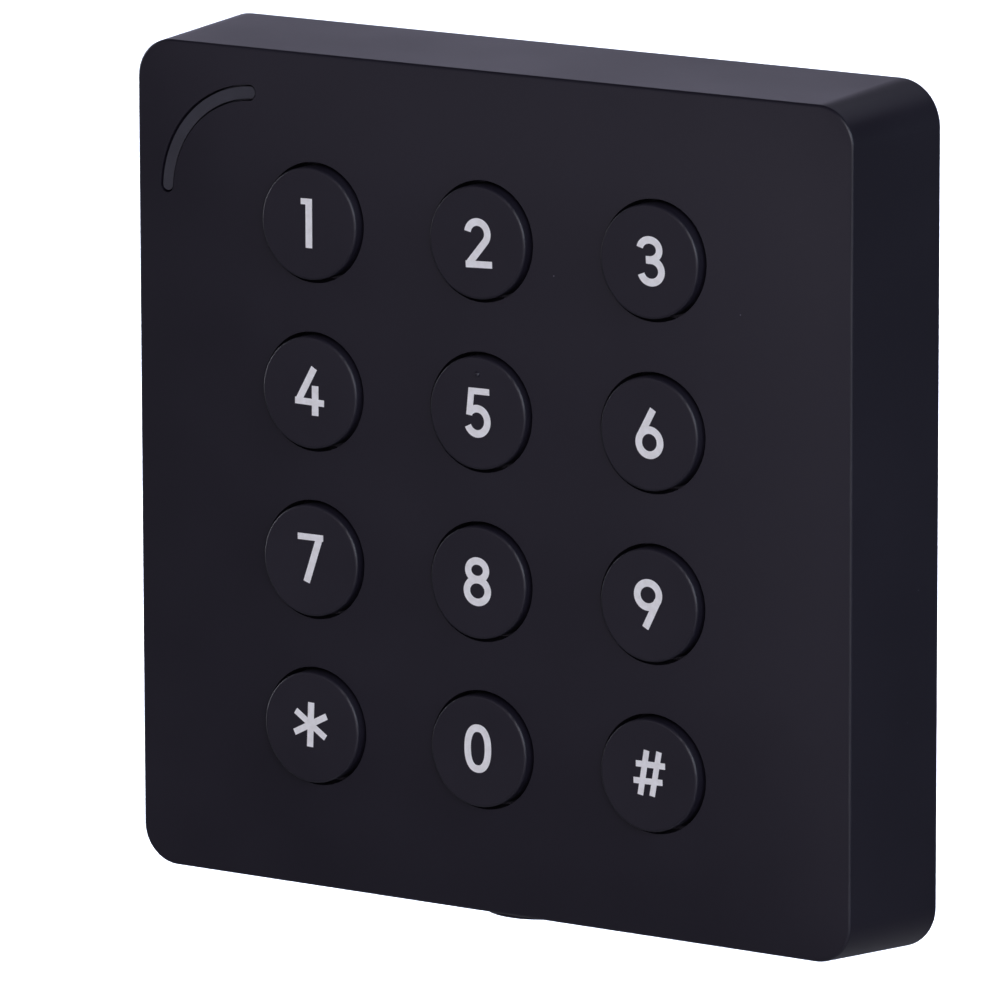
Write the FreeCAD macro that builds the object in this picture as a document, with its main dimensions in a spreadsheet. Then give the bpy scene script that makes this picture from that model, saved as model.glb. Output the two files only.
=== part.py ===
"""Keypad access reader for an 86 mm wall box: a crowned front cover with twelve sprung keys and a light
arc, a sealed rear cover, the electronics between them, and the steel bracket that holds it on the wall.

Frame: X to the reader's right as seen from the front, Z up, the face looks along -Y, and the wall is the
plane Y = 0. A "depth" below is a distance from the wall towards the viewer, so Y = -depth."""

import FreeCAD, Part
import math
import os
import Sketcher

V = FreeCAD.Vector
EDGE_TOLERANCE = 0.1

DIMENSIONS = [
    # the outer shape
    ("case_width", 86.0, "outside width at the rear edge"),
    ("case_height", 86.0, "outside height at the rear edge"),
    ("case_depth", 14.6, "rear edge to the rim of the face"),
    ("wall_gap", 0.1, "the cover's rear edge stands off the wall by this"),
    ("face_crown", 1.25, "how far the middle of the face stands ahead of its rim"),
    ("side_draft", 0.8, "each side leans in by this from the rear edge to the rim"),
    ("bottom_flare", 0.45, "the bottom's rear edge lies lower by this, so the bottom leans in more"),
    ("corner_radius", 4.5, "outside corner at the rear edge"),
    ("face_corner_radius", 4.0, "outside corner at the rim"),
    ("rim_radius", 0.3, "rounded edge between the face and the sides"),
    ("side_wall", 2.4, "thickness of the sides at the rear edge"),
    ("face_wall", 1.3, "thickness of the face at its rim"),
    # the keys
    ("key_pitch_x", 20.1, "key centre to key centre, across"),
    ("key_pitch_z", 17.0, "key centre to key centre, up"),
    ("key_hole_radius", 6.05, "holes in the face"),
    ("key_gap", 0.4, "radial gap round a key"),
    ("key_proud", 0.7, "key tops ahead of the middle of the face"),
    ("key_shoulder", 0.25, "rounding of a key's top edge"),
    ("key_wall", 1.2, "wall of the hollow keycap"),
    ("key_top_wall", 1.8, "thickness of a keycap's top"),
    ("key_post_radius", 2.0, "post in the keycap that stands on the dome"),
    ("key_travel", 0.75, "how far a key can be pressed"),
    ("flange_lap", 0.95, "the flange that keeps a key behind the face laps its hole's edge by this"),
    ("flange_thickness", 0.8, "thickness of that flange"),
    ("collar_height", 0.8, "collar round each hole, inside the face"),
    ("collar_wall", 0.9, "wall of the collar"),
    ("pin_radius", 0.7, "pin beside each hole that stops its key from turning"),
    ("pin_gap", 0.2, "clearance round that pin in the flange's notch"),
    ("nib_radius", 0.3, "raised nib on the middle key"),
    ("nib_height", 0.25, "height of the nib"),
    ("nib_rise", 3.9, "nib above the key's centre"),
    # the silicone mat and its contacts
    ("mat_height", 1.8, "board to the top of a dome"),
    ("mat_web", 0.6, "thickness of the sheet between the domes"),
    ("mat_margin", 8.4, "sheet beyond the outer key centres"),
    ("dome_radius", 4.8, "foot of a dome"),
    ("dome_cone", 0.7, "height of the dome's sloping wall"),
    ("dome_slope", 60.0, "slope of that wall from the key's axis, degrees"),
    ("dome_wall", 0.4, "thickness of the sloping wall along the sheet"),
    ("plunger_radius", 2.5, "round top of a dome"),
    ("contact_radius", 2.0, "carbon contact under a dome"),
    ("contact_thickness", 0.3, "thickness of the carbon contact"),
    ("contact_clear", 0.01, "contact of a fully pressed key to its pad"),
    ("pad_radius", 2.6, "contact pad on the board"),
    ("pad_thickness", 0.04, "thickness of the pad"),
    # the circuit board and its room
    ("board_thickness", 1.6, "circuit board"),
    ("board_gap", 0.7, "board edge to the sealing tongue"),
    ("board_boss_z", 10.0, "height of the board's screws above and below the middle"),
    ("board_boss_radius", 2.2, "bosses that the board is screwed to"),
    ("board_bore_radius", 1.0, "bore of those bosses"),
    # the rear cover and its seal
    ("bracket_space", 3.2, "wall to the rear cover, where the bracket lies"),
    ("rear_plate", 1.6, "thickness of the rear cover"),
    ("rear_gap", 0.2, "rear cover to the side walls"),
    ("seal_inset", 2.4, "side walls to the middle of the gasket"),
    ("seal_bottom", 6.0, "bottom wall to the middle of the gasket, which leaves room for the lock"),
    ("seal_radius", 3.0, "corner of the gasket's middle line"),
    ("tongue_width", 1.2, "rib of the front cover that presses on the gasket"),
    ("groove_width", 2.0, "groove in the rear cover"),
    ("groove_depth", 1.3, "depth of the groove"),
    ("seal_rim_width", 4.0, "raised rim that the groove is cut into"),
    ("seal_rim_height", 1.4, "height of that rim"),
    ("gasket_width", 1.8, "silicone gasket"),
    ("gasket_thickness", 0.9, "thickness of the gasket, pressed"),
    ("boss_inset", 6.4, "cover screws to the middle of the gasket"),
    ("boss_radius", 2.6, "bosses for the cover screws"),
    ("boss_bore_radius", 1.25, "bore of those bosses"),
    # the screws
    ("thread_gap", 0.05, "radial gap that stands for each thread"),
    ("screw_clear", 0.2, "radial clearance of a screw in a plain hole"),
    ("cover_head_radius", 2.25, "cover screw head"),
    ("cover_head_height", 1.2, "its height"),
    ("cover_screw_bite", 5.5, "cover screw in its boss"),
    ("board_head_radius", 1.9, "board screw head"),
    ("board_head_height", 1.1, "its height"),
    ("board_screw_bite", 2.6, "board screw in its boss"),
    ("drive_radius", 0.75, "drive recess of both screws"),
    ("drive_depth", 0.7, "depth of that recess"),
    # the light arc in the face
    ("arc_inset_x", 15.25, "side of the case to the arc's centre"),
    ("arc_inset_z", 16.0, "top of the case to the arc's centre"),
    ("arc_radius", 10.73, "middle line of the arc"),
    ("arc_width", 1.2, "width of the light guide in the face"),
    ("arc_gap", 0.22, "gap between the light guide and its slot"),
    ("guide_proud", 0.15, "front of the light guide ahead of the rim, which leaves it just below the face"),
    ("guide_flange_width", 3.0, "flange of the light guide behind the face"),
    ("guide_flange_thickness", 0.8, "thickness of that flange"),
    ("guide_clear", 0.3, "room round that flange"),
    ("pipe_radius", 0.75, "round light pipe down to each light"),
    ("led_length", 1.6, "status light"),
    ("led_width", 1.0, "status light"),
    ("led_height", 0.8, "status light"),
    ("led_gap", 0.2, "status light to its pipe"),
    # the wall bracket, its hooks and its lock
    ("bracket_thickness", 1.5, "steel plate"),
    ("bracket_side_gap", 2.6, "plate to the side walls"),
    ("bracket_top_gap", 3.1, "plate to the top wall"),
    ("bracket_bottom_gap", 1.6, "plate to the bottom wall"),
    ("bracket_corner", 4.0, "corners of the plate"),
    ("box_screw_pitch", 60.3, "wall box screws, centre to centre"),
    ("box_slot_length", 10.0, "slots for those screws, end to end"),
    ("box_slot_radius", 2.1, "half the width of those slots"),
    ("plug_pitch_x", 60.0, "holes for wall plugs, across"),
    ("plug_pitch_z", 56.0, "holes for wall plugs, up"),
    ("plug_hole_radius", 2.0, "holes for wall plugs"),
    ("cable_width", 36.0, "cable opening of the bracket"),
    ("cable_height", 24.0, "cable opening of the bracket"),
    ("cable_corner", 3.0, "corners of the cable opening"),
    ("hook_x", 20.0, "hooks to the middle of the bracket"),
    ("hook_width", 10.0, "width of a hook"),
    ("hook_rise", 1.2, "a hook goes this far into the top wall"),
    ("hook_clear", 0.3, "clearance of a hook in its notch"),
    ("hook_lip", 1.1, "lip of the cover behind each hook"),
    ("tab_width", 14.0, "lock tab at the bottom of the bracket"),
    ("tab_thickness", 2.0, "its thickness"),
    ("tab_gap", 0.4, "tab to the bottom wall"),
    ("tab_reach", 4.0, "tab beyond the lock screw"),
    ("tab_clear", 0.6, "clearance round the tab in the rear cover"),
    ("lock_depth", 5.4, "lock screw to the wall"),
    ("lock_pad_radius", 5.6, "half-round pad under the case, round the lock screw"),
    ("lock_pad_drop", 0.5, "pad below the level of the case's rear edge"),
    ("lock_hole_radius", 1.7, "hole for the lock screw in the bottom wall"),
    ("lock_head_radius", 2.6, "lock screw head"),
    ("lock_head_height", 1.6, "its height"),
    ("lock_head_gap", 0.2, "clearance round and under the head"),
    ("lock_thread_radius", 1.5, "threaded hole of the tab"),
    ("lock_length", 3.9, "lock screw under its head"),
    ("lock_drive_radius", 1.1, "six-sided drive of the lock screw"),
    # the parts on the back of the board
    ("header_x", 0.0, "wiring header, middle"),
    ("header_z", 10.0, "wiring header, middle"),
    ("header_length", 20.0, "wiring header"),
    ("header_width", 6.0, "wiring header"),
    ("header_height", 3.2, "wiring header"),
    ("header_wall", 0.8, "wall of the header"),
    ("header_floor", 0.8, "floor of the header"),
    ("header_pin_pitch", 2.0, "pins of the header"),
    ("header_pin_size", 0.5, "square pins"),
    ("header_pin_length", 2.0, "pins above the header's floor"),
    ("window_margin", 2.0, "window of the rear cover round the header"),
    ("tamper_x", 15.0, "tamper switch"),
    ("tamper_z", -15.0, "tamper switch"),
    ("tamper_size", 6.0, "square body of the switch"),
    ("tamper_height", 3.2, "height of the switch"),
    ("tamper_radius", 1.2, "plunger of the switch"),
    ("tamper_slide_gap", 0.1, "running clearance of the plunger"),
    ("tamper_in_switch", 1.8, "plunger inside the switch"),
    ("tamper_bore_floor", 0.6, "closed end of the plunger's bore"),
    ("tamper_travel", 0.6, "how far the plunger can be pressed in"),
    ("tamper_tip_gap", 0.1, "plunger tip to the bracket"),
    ("coil_width", 56.0, "antenna coil, outside"),
    ("coil_height", 56.0, "antenna coil, outside"),
    ("coil_ring", 3.5, "width of the winding"),
    ("coil_thickness", 1.8, "thickness of the winding"),
    ("coil_corner", 6.0, "outer corner of the winding"),
    ("buzzer_x", -16.0, "buzzer"),
    ("buzzer_z", 16.0, "buzzer"),
    ("buzzer_radius", 4.5, "buzzer"),
    ("buzzer_height", 3.2, "buzzer"),
    ("buzzer_hole_radius", 0.8, "sound hole of the buzzer"),
]

KEY_NAMES = [
    ["key_1", "key_2", "key_3"],
    ["key_4", "key_5", "key_6"],
    ["key_7", "key_8", "key_9"],
    ["key_star", "key_0", "key_hash"],
]
MIDDLE_KEY = "key_5"
PIPE_ANGLES = (128, 142)
SIDES = (-1, 1)
HEADER_PINS = 8
CHIPS = {
    # name: (x, z, width, height up the board, thickness)
    "microcontroller": (-10.0, -6.0, 7.0, 7.0, 1.2),
    "reader_chip": (8.0, -6.0, 5.0, 5.0, 0.9),
    "crystal": (0.0, -13.0, 5.0, 3.2, 1.0),
}
PASSIVE_COUNT = 8
PASSIVE_SIZE = (2.0, 1.25, 0.8)
PASSIVE_START = (-18.0, -19.5)
PASSIVE_PITCH = 3.6

doc = FreeCAD.newDocument("keypad_reader")
dims = doc.addObject("Spreadsheet::Sheet", "dims")
for row, (alias, size, note) in enumerate(DIMENSIONS, start=1):
    dims.set(f"A{row}", alias)
    dims.set(f"B{row}", str(size))
    dims.setAlias(f"B{row}", alias)
    dims.set(f"C{row}", note)
doc.recompute()

ALIASES = {alias for alias, _, _ in DIMENSIONS}

# Depths from the wall, from the face inwards and from the wall outwards.
RIM = "(wall_gap + case_depth)"
KEY_TOP = f"({RIM} + face_crown + key_proud)"
FLANGE_RADIUS = "(key_hole_radius + flange_lap)"
FACE_INSIDE = f"({RIM} - face_wall)"
FLANGE_FRONT = f"({FACE_INSIDE} - collar_height)"
FLANGE_BACK = f"({FLANGE_FRONT} - flange_thickness)"
BOARD_FRONT = f"({FLANGE_BACK} - mat_height)"
BOARD_BACK = f"({BOARD_FRONT} - board_thickness)"
DOME_INSIDE = f"({BOARD_FRONT} + key_travel + pad_thickness + contact_clear + contact_thickness)"
REAR_PLATE_FRONT = "(bracket_space + rear_plate)"
SEAL_RIM_FRONT = f"({REAR_PLATE_FRONT} + seal_rim_height)"
GROOVE_FLOOR = f"({SEAL_RIM_FRONT} - groove_depth)"
TONGUE_END = f"({GROOVE_FLOOR} + gasket_thickness)"
GUIDE_FRONT = f"({RIM} + guide_proud)"

# Places across the reader.
INSIDE_WIDTH = "(case_width - 2 * side_wall)"
INSIDE_HEIGHT = "(case_height - 2 * side_wall)"
INSIDE_RADIUS = "(corner_radius - side_wall)"
SEAL_WIDTH = f"({INSIDE_WIDTH} - 2 * seal_inset)"
SEAL_HEIGHT = f"({INSIDE_HEIGHT} - seal_inset - seal_bottom)"
SEAL_Z = "((seal_bottom - seal_inset) / 2)"
BOSS_X = f"({SEAL_WIDTH} / 2 - boss_inset)"
BOSS_TOP_Z = f"({SEAL_Z} + {SEAL_HEIGHT} / 2 - boss_inset)"
BOSS_BOTTOM_Z = f"({SEAL_Z} - {SEAL_HEIGHT} / 2 + boss_inset)"
ARC_X = "(arc_inset_x - case_width / 2)"
ARC_Z = "(case_height / 2 - arc_inset_z)"
BOTTOM_INSIDE = "(side_wall - case_height / 2)"
TOP_INSIDE = "(case_height / 2 - side_wall)"
TAB_Z = f"({BOTTOM_INSIDE} + tab_gap)"
PAD_Z = "(-case_height / 2 - lock_pad_drop)"


def tied(text):
    """The expression with each dimension read from the sheet."""
    spaced = "".join(c if c.isalnum() or c in "_." else f" {c} " for c in str(text))
    return " ".join("dims." + word if word in ALIASES else word for word in spaced.split())


def value(text):
    """What that expression comes to now, in millimetres."""
    return float(dims.evalExpression(tied(text)))


def cover_boss_places():
    return [(f"{side} * {BOSS_X}", z) for side in SIDES for z in (BOSS_TOP_Z, BOSS_BOTTOM_Z)]


def board_boss_places():
    return [(f"{side} * {BOSS_X}", f"{end} * board_boss_z") for side in SIDES for end in SIDES]


def key_places():
    """Each key's name and where its axis is."""
    places = []
    for row, names in enumerate(KEY_NAMES):
        for column, name in enumerate(names):
            places.append((name, f"{column - 1} * key_pitch_x", f"{1.5 - row} * key_pitch_z"))
    return places


def pin_z(z):
    """The anti-turn pin stands just inside the edge of the key's flange, below its centre."""
    return f"{z} - {FLANGE_RADIUS}"


def pipe_places():
    places = []
    for angle in PIPE_ANGLES:
        across = round(math.cos(math.radians(angle)), 5)
        up = round(math.sin(math.radians(angle)), 5)
        places.append((f"{ARC_X} + arc_radius * {across}", f"{ARC_Z} + arc_radius * {up}"))
    return places


# --- sketches and features -----------------------------------------------------------------------


def new_body(label):
    body = doc.addObject("PartDesign::Body", label)
    body.Label = label
    return body


def new_sketch(body, name, offset, plane="XZ_Plane"):
    """A sketch on one of the body's own planes, moved along that plane's normal. On XZ_Plane the
    sketch looks at the reader from the front and the offset is a depth from the wall."""
    sketch = body.newObject("Sketcher::SketchObject", name)
    origin_plane = [p for p in body.Origin.OriginFeatures if p.Role == plane][0]
    sketch.AttachmentSupport = (origin_plane, [""])
    sketch.MapMode = "FlatFace"
    sketch.setExpression("AttachmentOffset.Base.z", tied(offset))
    return sketch


def fix(sketch, kind, *where_and_size):
    """A dimension of the sketch, tied to the sheet. The last argument is its size."""
    *where, size = where_and_size
    number = sketch.addConstraint(Sketcher.Constraint(kind, *where, value(size)))
    sketch.setExpression(f"Constraints[{number}]", tied(size))


def place_point(sketch, geometry, point, x, z):
    fix(sketch, "DistanceX", -1, 1, geometry, point, x)
    fix(sketch, "DistanceY", -1, 1, geometry, point, z)


def draw_circle(sketch, x, z, radius):
    circle = Part.Circle(V(value(x), value(z), 0), V(0, 0, 1), value(radius))
    number = sketch.addGeometry(circle)
    place_point(sketch, number, 3, x, z)
    fix(sketch, "Radius", number, radius)


def draw_box(sketch, x, z, width, height):
    """A rectangle with its middle at x, z."""
    left = value(x) - value(width) / 2
    low = value(z) - value(height) / 2
    right = left + value(width)
    high = low + value(height)
    corners = [V(left, low), V(right, low), V(right, high), V(left, high)]
    sides = [sketch.addGeometry(Part.LineSegment(corners[i - 1], corners[i])) for i in range(4)]
    for i in range(4):
        sketch.addConstraint(Sketcher.Constraint("Coincident", sides[i - 1], 2, sides[i], 1))
        sketch.addConstraint(Sketcher.Constraint("Vertical" if i % 2 == 0 else "Horizontal", sides[i]))
    fix(sketch, "DistanceX", sides[1], 1, sides[1], 2, width)
    fix(sketch, "DistanceY", sides[2], 1, sides[2], 2, height)
    place_point(sketch, sides[1], 1, f"{x} - ({width}) / 2", f"{z} - ({height}) / 2")


def draw_rounded_box(sketch, x, z, width, height, radius):
    """A rectangle with four equal round corners and its middle at x, z."""
    half_w = value(width) / 2
    half_h = value(height) / 2
    r = value(radius)
    middle = V(value(x), value(z), 0)
    lines = []
    arcs = []
    for quarter in range(4):
        turn = FreeCAD.Rotation(V(0, 0, 1), 90 * quarter)
        across, up = (half_w, half_h) if quarter % 2 == 0 else (half_h, half_w)
        start = middle + turn.multVec(V(-(across - r), -up))
        end = middle + turn.multVec(V(across - r, -up))
        centre = middle + turn.multVec(V(across - r, -(up - r)))
        first = math.radians(90 * quarter - 90)
        circle = Part.Circle(centre, V(0, 0, 1), r)
        lines.append(sketch.addGeometry(Part.LineSegment(start, end)))
        arcs.append(sketch.addGeometry(Part.ArcOfCircle(circle, first, first + math.pi / 2)))
    for i in range(4):
        direction = "Horizontal" if i % 2 == 0 else "Vertical"
        sketch.addConstraint(Sketcher.Constraint("Tangent", lines[i], 2, arcs[i], 1))
        sketch.addConstraint(Sketcher.Constraint("Tangent", arcs[i - 1], 2, lines[i], 1))
        sketch.addConstraint(Sketcher.Constraint(direction, lines[i]))
    for i in range(1, 4):
        sketch.addConstraint(Sketcher.Constraint("Equal", arcs[0], arcs[i]))
    fix(sketch, "Radius", arcs[0], radius)
    fix(sketch, "DistanceX", lines[3], 1, lines[1], 1, width)
    fix(sketch, "DistanceY", lines[0], 1, lines[2], 1, height)
    place_point(sketch, lines[0], 1, f"{x} - ({width}) / 2 + {radius}", f"{z} - ({height}) / 2")


def draw_slot(sketch, x, z, length, radius):
    """A slot along X with round ends and its middle at x, z."""
    r = value(radius)
    reach = value(length) / 2 - r
    middle = V(value(x), value(z), 0)
    right = Part.Circle(middle + V(reach, 0), V(0, 0, 1), r)
    left = Part.Circle(middle + V(-reach, 0), V(0, 0, 1), r)
    low = sketch.addGeometry(Part.LineSegment(middle + V(-reach, -r), middle + V(reach, -r)))
    right = sketch.addGeometry(Part.ArcOfCircle(right, -math.pi / 2, math.pi / 2))
    high = sketch.addGeometry(Part.LineSegment(middle + V(reach, r), middle + V(-reach, r)))
    left = sketch.addGeometry(Part.ArcOfCircle(left, math.pi / 2, 3 * math.pi / 2))
    chain = [low, right, high, left]
    for i in range(4):
        sketch.addConstraint(Sketcher.Constraint("Tangent", chain[i - 1], 2, chain[i], 1))
    sketch.addConstraint(Sketcher.Constraint("Horizontal", low))
    fix(sketch, "Radius", right, radius)
    place_point(sketch, right, 3, f"{x} + ({length}) / 2 - {radius}", z)
    fix(sketch, "DistanceX", left, 3, right, 3, f"({length}) - 2 * {radius}")


def draw_quarter_arc(sketch, width):
    """The band of the light arc: a quarter ring with round ends, from over its centre round to the
    centre's left. Each end's middle lies half the lit width inside the quarter."""
    x = value(ARC_X)
    z = value(ARC_Z)
    radius = value("arc_radius")
    half = value(width) / 2
    inset = value("arc_width") / 2
    centre = V(x, z, 0)
    step = math.asin(inset / radius)
    first = math.pi / 2 + step
    last = math.pi - step
    caps = [centre + V(radius * math.cos(a), radius * math.sin(a)) for a in (first, last)]
    outer = Part.ArcOfCircle(Part.Circle(centre, V(0, 0, 1), radius + half), first, last)
    inner = Part.ArcOfCircle(Part.Circle(centre, V(0, 0, 1), radius - half), first, last)
    top = Part.ArcOfCircle(Part.Circle(caps[0], V(0, 0, 1), half), first + math.pi, first + 2 * math.pi)
    side = Part.ArcOfCircle(Part.Circle(caps[1], V(0, 0, 1), half), last, last + math.pi)
    outer, side, inner, top = [sketch.addGeometry(arc) for arc in (outer, side, inner, top)]
    sketch.addConstraint(Sketcher.Constraint("Tangent", outer, 2, side, 1))
    sketch.addConstraint(Sketcher.Constraint("Tangent", side, 2, inner, 2))
    sketch.addConstraint(Sketcher.Constraint("Tangent", inner, 1, top, 1))
    sketch.addConstraint(Sketcher.Constraint("Tangent", top, 2, outer, 1))
    sketch.addConstraint(Sketcher.Constraint("Coincident", outer, 3, inner, 3))
    fix(sketch, "Radius", outer, f"arc_radius + ({width}) / 2")
    fix(sketch, "Radius", inner, f"arc_radius - ({width}) / 2")
    place_point(sketch, outer, 3, ARC_X, ARC_Z)
    fix(sketch, "DistanceX", top, 3, outer, 3, "arc_width / 2")
    fix(sketch, "DistanceY", outer, 3, side, 3, "arc_width / 2")


def add_feature(body, kind, sketch, length, name, **settings):
    """A pad or pocket that runs from the sketch along its normal. It has to change the volume."""
    before = body.Shape.Volume if body.Tip else 0.0
    feature = body.newObject("PartDesign::" + kind, name)
    feature.Profile = sketch
    feature.setExpression("Length", tied(length))
    feature.Reversed = kind == "Pocket"
    for setting, amount in settings.items():
        setattr(feature, setting, amount)
    doc.recompute()
    grown = body.Shape.Volume - before
    if (grown > 0) != (kind == "Pad") or abs(grown) < 1e-6:
        raise RuntimeError(f"{body.Label}: {name} changed the volume by {grown:.4f}")
    return feature


def pad(body, sketch, length, name, **settings):
    return add_feature(body, "Pad", sketch, length, name, **settings)


def pocket(body, sketch, length, name, **settings):
    return add_feature(body, "Pocket", sketch, length, name, **settings)


def circles(body, name, depth, places, radius):
    """A sketch at that depth with one circle at each place."""
    sketch = new_sketch(body, name, depth)
    for x, z in places:
        draw_circle(sketch, x, z, radius)
    return sketch


def rings(body, name, depth, places, outer, inner):
    sketch = circles(body, name, depth, places, outer)
    for x, z in places:
        draw_circle(sketch, x, z, inner)
    return sketch


def round_edges(body, radius, name, chosen):
    """Rounds the edges of the body's tip for which chosen(edge) is true."""
    doc.recompute()
    tip = body.Tip
    edges = [f"Edge{i}" for i, edge in enumerate(tip.Shape.Edges, start=1) if chosen(edge)]
    if not edges:
        raise RuntimeError(f"{body.Label}: {name} found no edge")
    fillet = body.newObject("PartDesign::Fillet", name)
    fillet.Base = (tip, edges)
    fillet.setExpression("Radius", tied(radius))
    doc.recompute()
    return fillet


def circle_at(depth, radius):
    """Chooses the round edges of that radius at that depth."""

    def chosen(edge):
        box = edge.BoundBox
        flat = box.YLength < EDGE_TOLERANCE and abs(box.YMin + depth) < EDGE_TOLERANCE
        return flat and abs(box.XLength - 2 * radius) < EDGE_TOLERANCE

    return chosen


# --- the housing -----------------------------------------------------------------------------------


def outline_wire(depth, lean, flare, radius):
    """The case's rounded outline at that depth: each side moved in by lean, the bottom out by flare."""
    right = value("case_width") / 2 - lean
    top = value("case_height") / 2 - lean
    bottom = -top - flare
    diagonal = radius * (1 - 1 / math.sqrt(2))
    corners = [(right, bottom), (right, top), (-right, top), (-right, bottom)]
    edges = []
    for (x, z), (next_x, next_z) in zip(corners, corners[1:] + corners[:1]):
        in_x = math.copysign(radius, x)
        in_z = math.copysign(radius, z)
        low_end = V(x - in_x, -depth, z)
        side_end = V(x, -depth, z - in_z)
        bulge = V(x - math.copysign(diagonal, x), -depth, z - math.copysign(diagonal, z))
        edges.append(Part.Arc(low_end, bulge, side_end).toShape())
        if x == next_x:
            next_end = V(x, -depth, next_z - math.copysign(radius, next_z))
            edges.append(Part.LineSegment(side_end, next_end).toShape())
        else:
            next_end = V(next_x - math.copysign(radius, next_x), -depth, z)
            edges.append(Part.LineSegment(low_end, next_end).toShape())
    return Part.Wire(Part.__sortEdges__(edges))


def crown_surface():
    """The face: crown * (1 - (x/a)^4) * (1 - (z/b)^4) ahead of the rim. It is nearly flat in the
    middle and falls away towards the rim, which lies in one plane. Each factor is a polynomial of
    degree 4, so one Bezier patch of degree 4 by 4 is exactly this surface. The patch reaches past
    the rim by the overhang."""
    overhang = 1.1
    degree = 4
    half_w = value("case_width") / 2 - value("side_draft")
    half_h = value("case_height") / 2 - value("side_draft")
    rim = value(RIM)
    crown = value("face_crown")
    fall = [1 - overhang**degree * (-1) ** i for i in range(degree + 1)]
    patch = Part.BezierSurface()
    patch.increase(degree, degree)
    for i in range(degree + 1):
        for j in range(degree + 1):
            x = half_w * overhang * (2 * i / degree - 1)
            z = half_h * overhang * (2 * j / degree - 1)
            patch.setPole(i + 1, j + 1, V(x, -(rim + crown * fall[i] * fall[j]), z))
    return patch


def make_cover_blank():
    """The front cover before it is hollowed: drafted sides, crowned face, rounded rim."""
    rear = value("wall_gap")
    depth = value("case_depth")
    rim = value(RIM)
    ahead = 2 * value("face_crown")
    reach = (depth + ahead) / depth
    flare = value("bottom_flare")
    rear_radius = value("corner_radius")
    front_radius = rear_radius + (value("face_corner_radius") - rear_radius) * reach
    rear_wire = outline_wire(rear, 0, flare, rear_radius)
    front_wire = outline_wire(rim + ahead, value("side_draft") * reach, flare * (1 - reach), front_radius)
    block = Part.makeLoft([rear_wire, front_wire], True, True)
    in_front = crown_surface().toShape().extrude(V(0, -4 * ahead, 0))
    crowned = block.cut(in_front)
    rim_edges = [
        edge
        for edge in crowned.Edges
        if edge.BoundBox.YLength < EDGE_TOLERANCE and abs(edge.BoundBox.YMin + rim) < EDGE_TOLERANCE
    ]
    blank = doc.addObject("Part::Feature", "front_cover_blank")
    blank.Shape = crowned.makeFillet(value("rim_radius"), rim_edges)
    return blank


def make_front_cover():
    """Moulded ABS front cover: face with twelve holes and the arc's slot, sides that reach back
    almost to the wall, and inside it the collars, pins, bosses and the tongue that seals."""
    body = new_body("front_cover")
    body.BaseFeature = make_cover_blank()
    doc.recompute()
    key_axes = [(x, z) for _, x, z in key_places()]

    cavity = new_sketch(body, "cavity_outline", 0)
    draw_rounded_box(cavity, 0, 0, INSIDE_WIDTH, INSIDE_HEIGHT, INSIDE_RADIUS)
    pocket(body, cavity, FACE_INSIDE, "cavity")

    bury = "face_wall / 4"
    collars = circles(body, "collar_outline", FLANGE_FRONT, key_axes, "key_hole_radius + collar_wall")
    pad(body, collars, f"collar_height + {bury}", "key_collars")
    pin_depth = f"{FLANGE_BACK} - 2 * pin_gap"
    pin_axes = [(x, pin_z(z)) for x, z in key_axes]
    pins = circles(body, "pin_outline", pin_depth, pin_axes, "pin_radius")
    pad(body, pins, f"{FACE_INSIDE} - ({pin_depth}) + {bury}", "anti_turn_pins")

    tongue = new_sketch(body, "tongue_outline", TONGUE_END)
    for grow in ("tongue_width", "-tongue_width"):
        draw_rounded_box(
            tongue, 0, SEAL_Z, f"{SEAL_WIDTH} + {grow}", f"{SEAL_HEIGHT} + {grow}", f"(seal_radius + {grow} / 2)"
        )
    pad(body, tongue, f"{FACE_INSIDE} - {TONGUE_END} + {bury}", "sealing_tongue")

    bosses = circles(body, "boss_outline", REAR_PLATE_FRONT, cover_boss_places(), "boss_radius")
    pad(body, bosses, f"{FACE_INSIDE} - {REAR_PLATE_FRONT} + {bury}", "cover_bosses")
    seats = circles(body, "board_boss_outline", BOARD_FRONT, board_boss_places(), "board_boss_radius")
    pad(body, seats, f"{FACE_INSIDE} - {BOARD_FRONT} + {bury}", "board_bosses")

    add_lock_pad(body)

    holes = circles(body, "key_hole_outline", FLANGE_FRONT, key_axes, "key_hole_radius")
    pocket(body, holes, f"{KEY_TOP} - {FLANGE_FRONT}", "key_holes")
    bores = circles(body, "boss_bore_outline", REAR_PLATE_FRONT, cover_boss_places(), "boss_bore_radius")
    pocket(body, bores, "cover_screw_bite + 1", "cover_bores")
    bores = circles(body, "board_bore_outline", BOARD_FRONT, board_boss_places(), "board_bore_radius")
    pocket(body, bores, "board_screw_bite + 0.4", "board_bores")

    seat = new_sketch(body, "guide_seat_outline", f"{FACE_INSIDE} - guide_flange_thickness - guide_clear")
    draw_quarter_arc(seat, "guide_flange_width + 2 * guide_clear")
    pocket(body, seat, "guide_flange_thickness + guide_clear", "guide_seat")
    slot = new_sketch(body, "arc_slot_outline", FACE_INSIDE)
    draw_quarter_arc(slot, "arc_width + 2 * arc_gap")
    pocket(body, slot, "face_wall + face_crown", "arc_slot")

    notch = new_sketch(body, "hook_notch_outline", "wall_gap + hook_lip")
    for side in SIDES:
        draw_box(
            notch, f"{side} * hook_x", TOP_INSIDE, "hook_width + 2 * hook_clear", "2 * (hook_rise + hook_clear)"
        )
    pocket(body, notch, "bracket_space - wall_gap - hook_lip", "hook_notches")
    return body


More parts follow.
